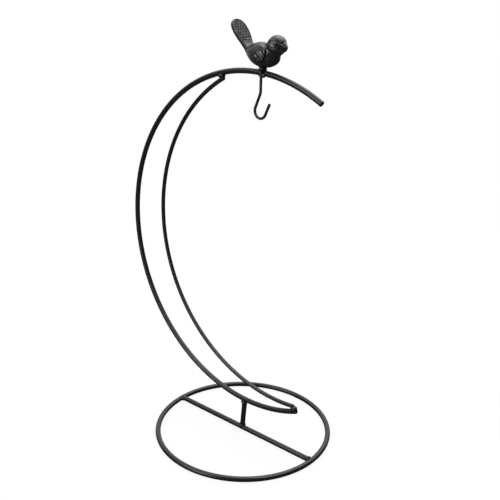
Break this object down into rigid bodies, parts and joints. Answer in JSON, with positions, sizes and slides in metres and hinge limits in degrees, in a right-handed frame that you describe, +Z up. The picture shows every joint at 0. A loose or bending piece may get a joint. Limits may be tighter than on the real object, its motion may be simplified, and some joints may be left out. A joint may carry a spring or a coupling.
{
  "type": "ornament display stand",
  "caption": "Black wire tabletop stand: a crescent of two bent wires on a ring base, a cast bird perched on its crown and a hook below for hanging an ornament.",
  "frame": {"origin": "centre of the base ring, on the surface that the stand rests on", "axes": "+X the way the bird faces and the crescent opens; +Z up; the crescent lies in the plane Y = 0"},
  "size_m": [0.1866, 0.1318, 0.2966],
  "materials": {
    "black_wire": "satin black powder coat on round steel wire",
    "black_casting": "satin black paint on a metal casting",
    "black_weld": "satin black powder coat over weld beads"
  },
  "bodies": {
    "root": {"base_ring": "black_wire", "crossbar": "black_wire", "riser_post": "black_wire", "outer_bow": "black_wire", "inner_bow": "black_wire", "hook": "black_wire", "bird": "black_casting", "crossbar_weld_front": "black_weld", "crossbar_weld_rear": "black_weld", "riser_foot_weld": "black_weld", "riser_head_weld": "black_weld", "crescent_top_weld": "black_weld", "crescent_heel_weld": "black_weld", "bird_weld": "black_weld", "hook_weld": "black_weld"}
  },
  "joints": []
}
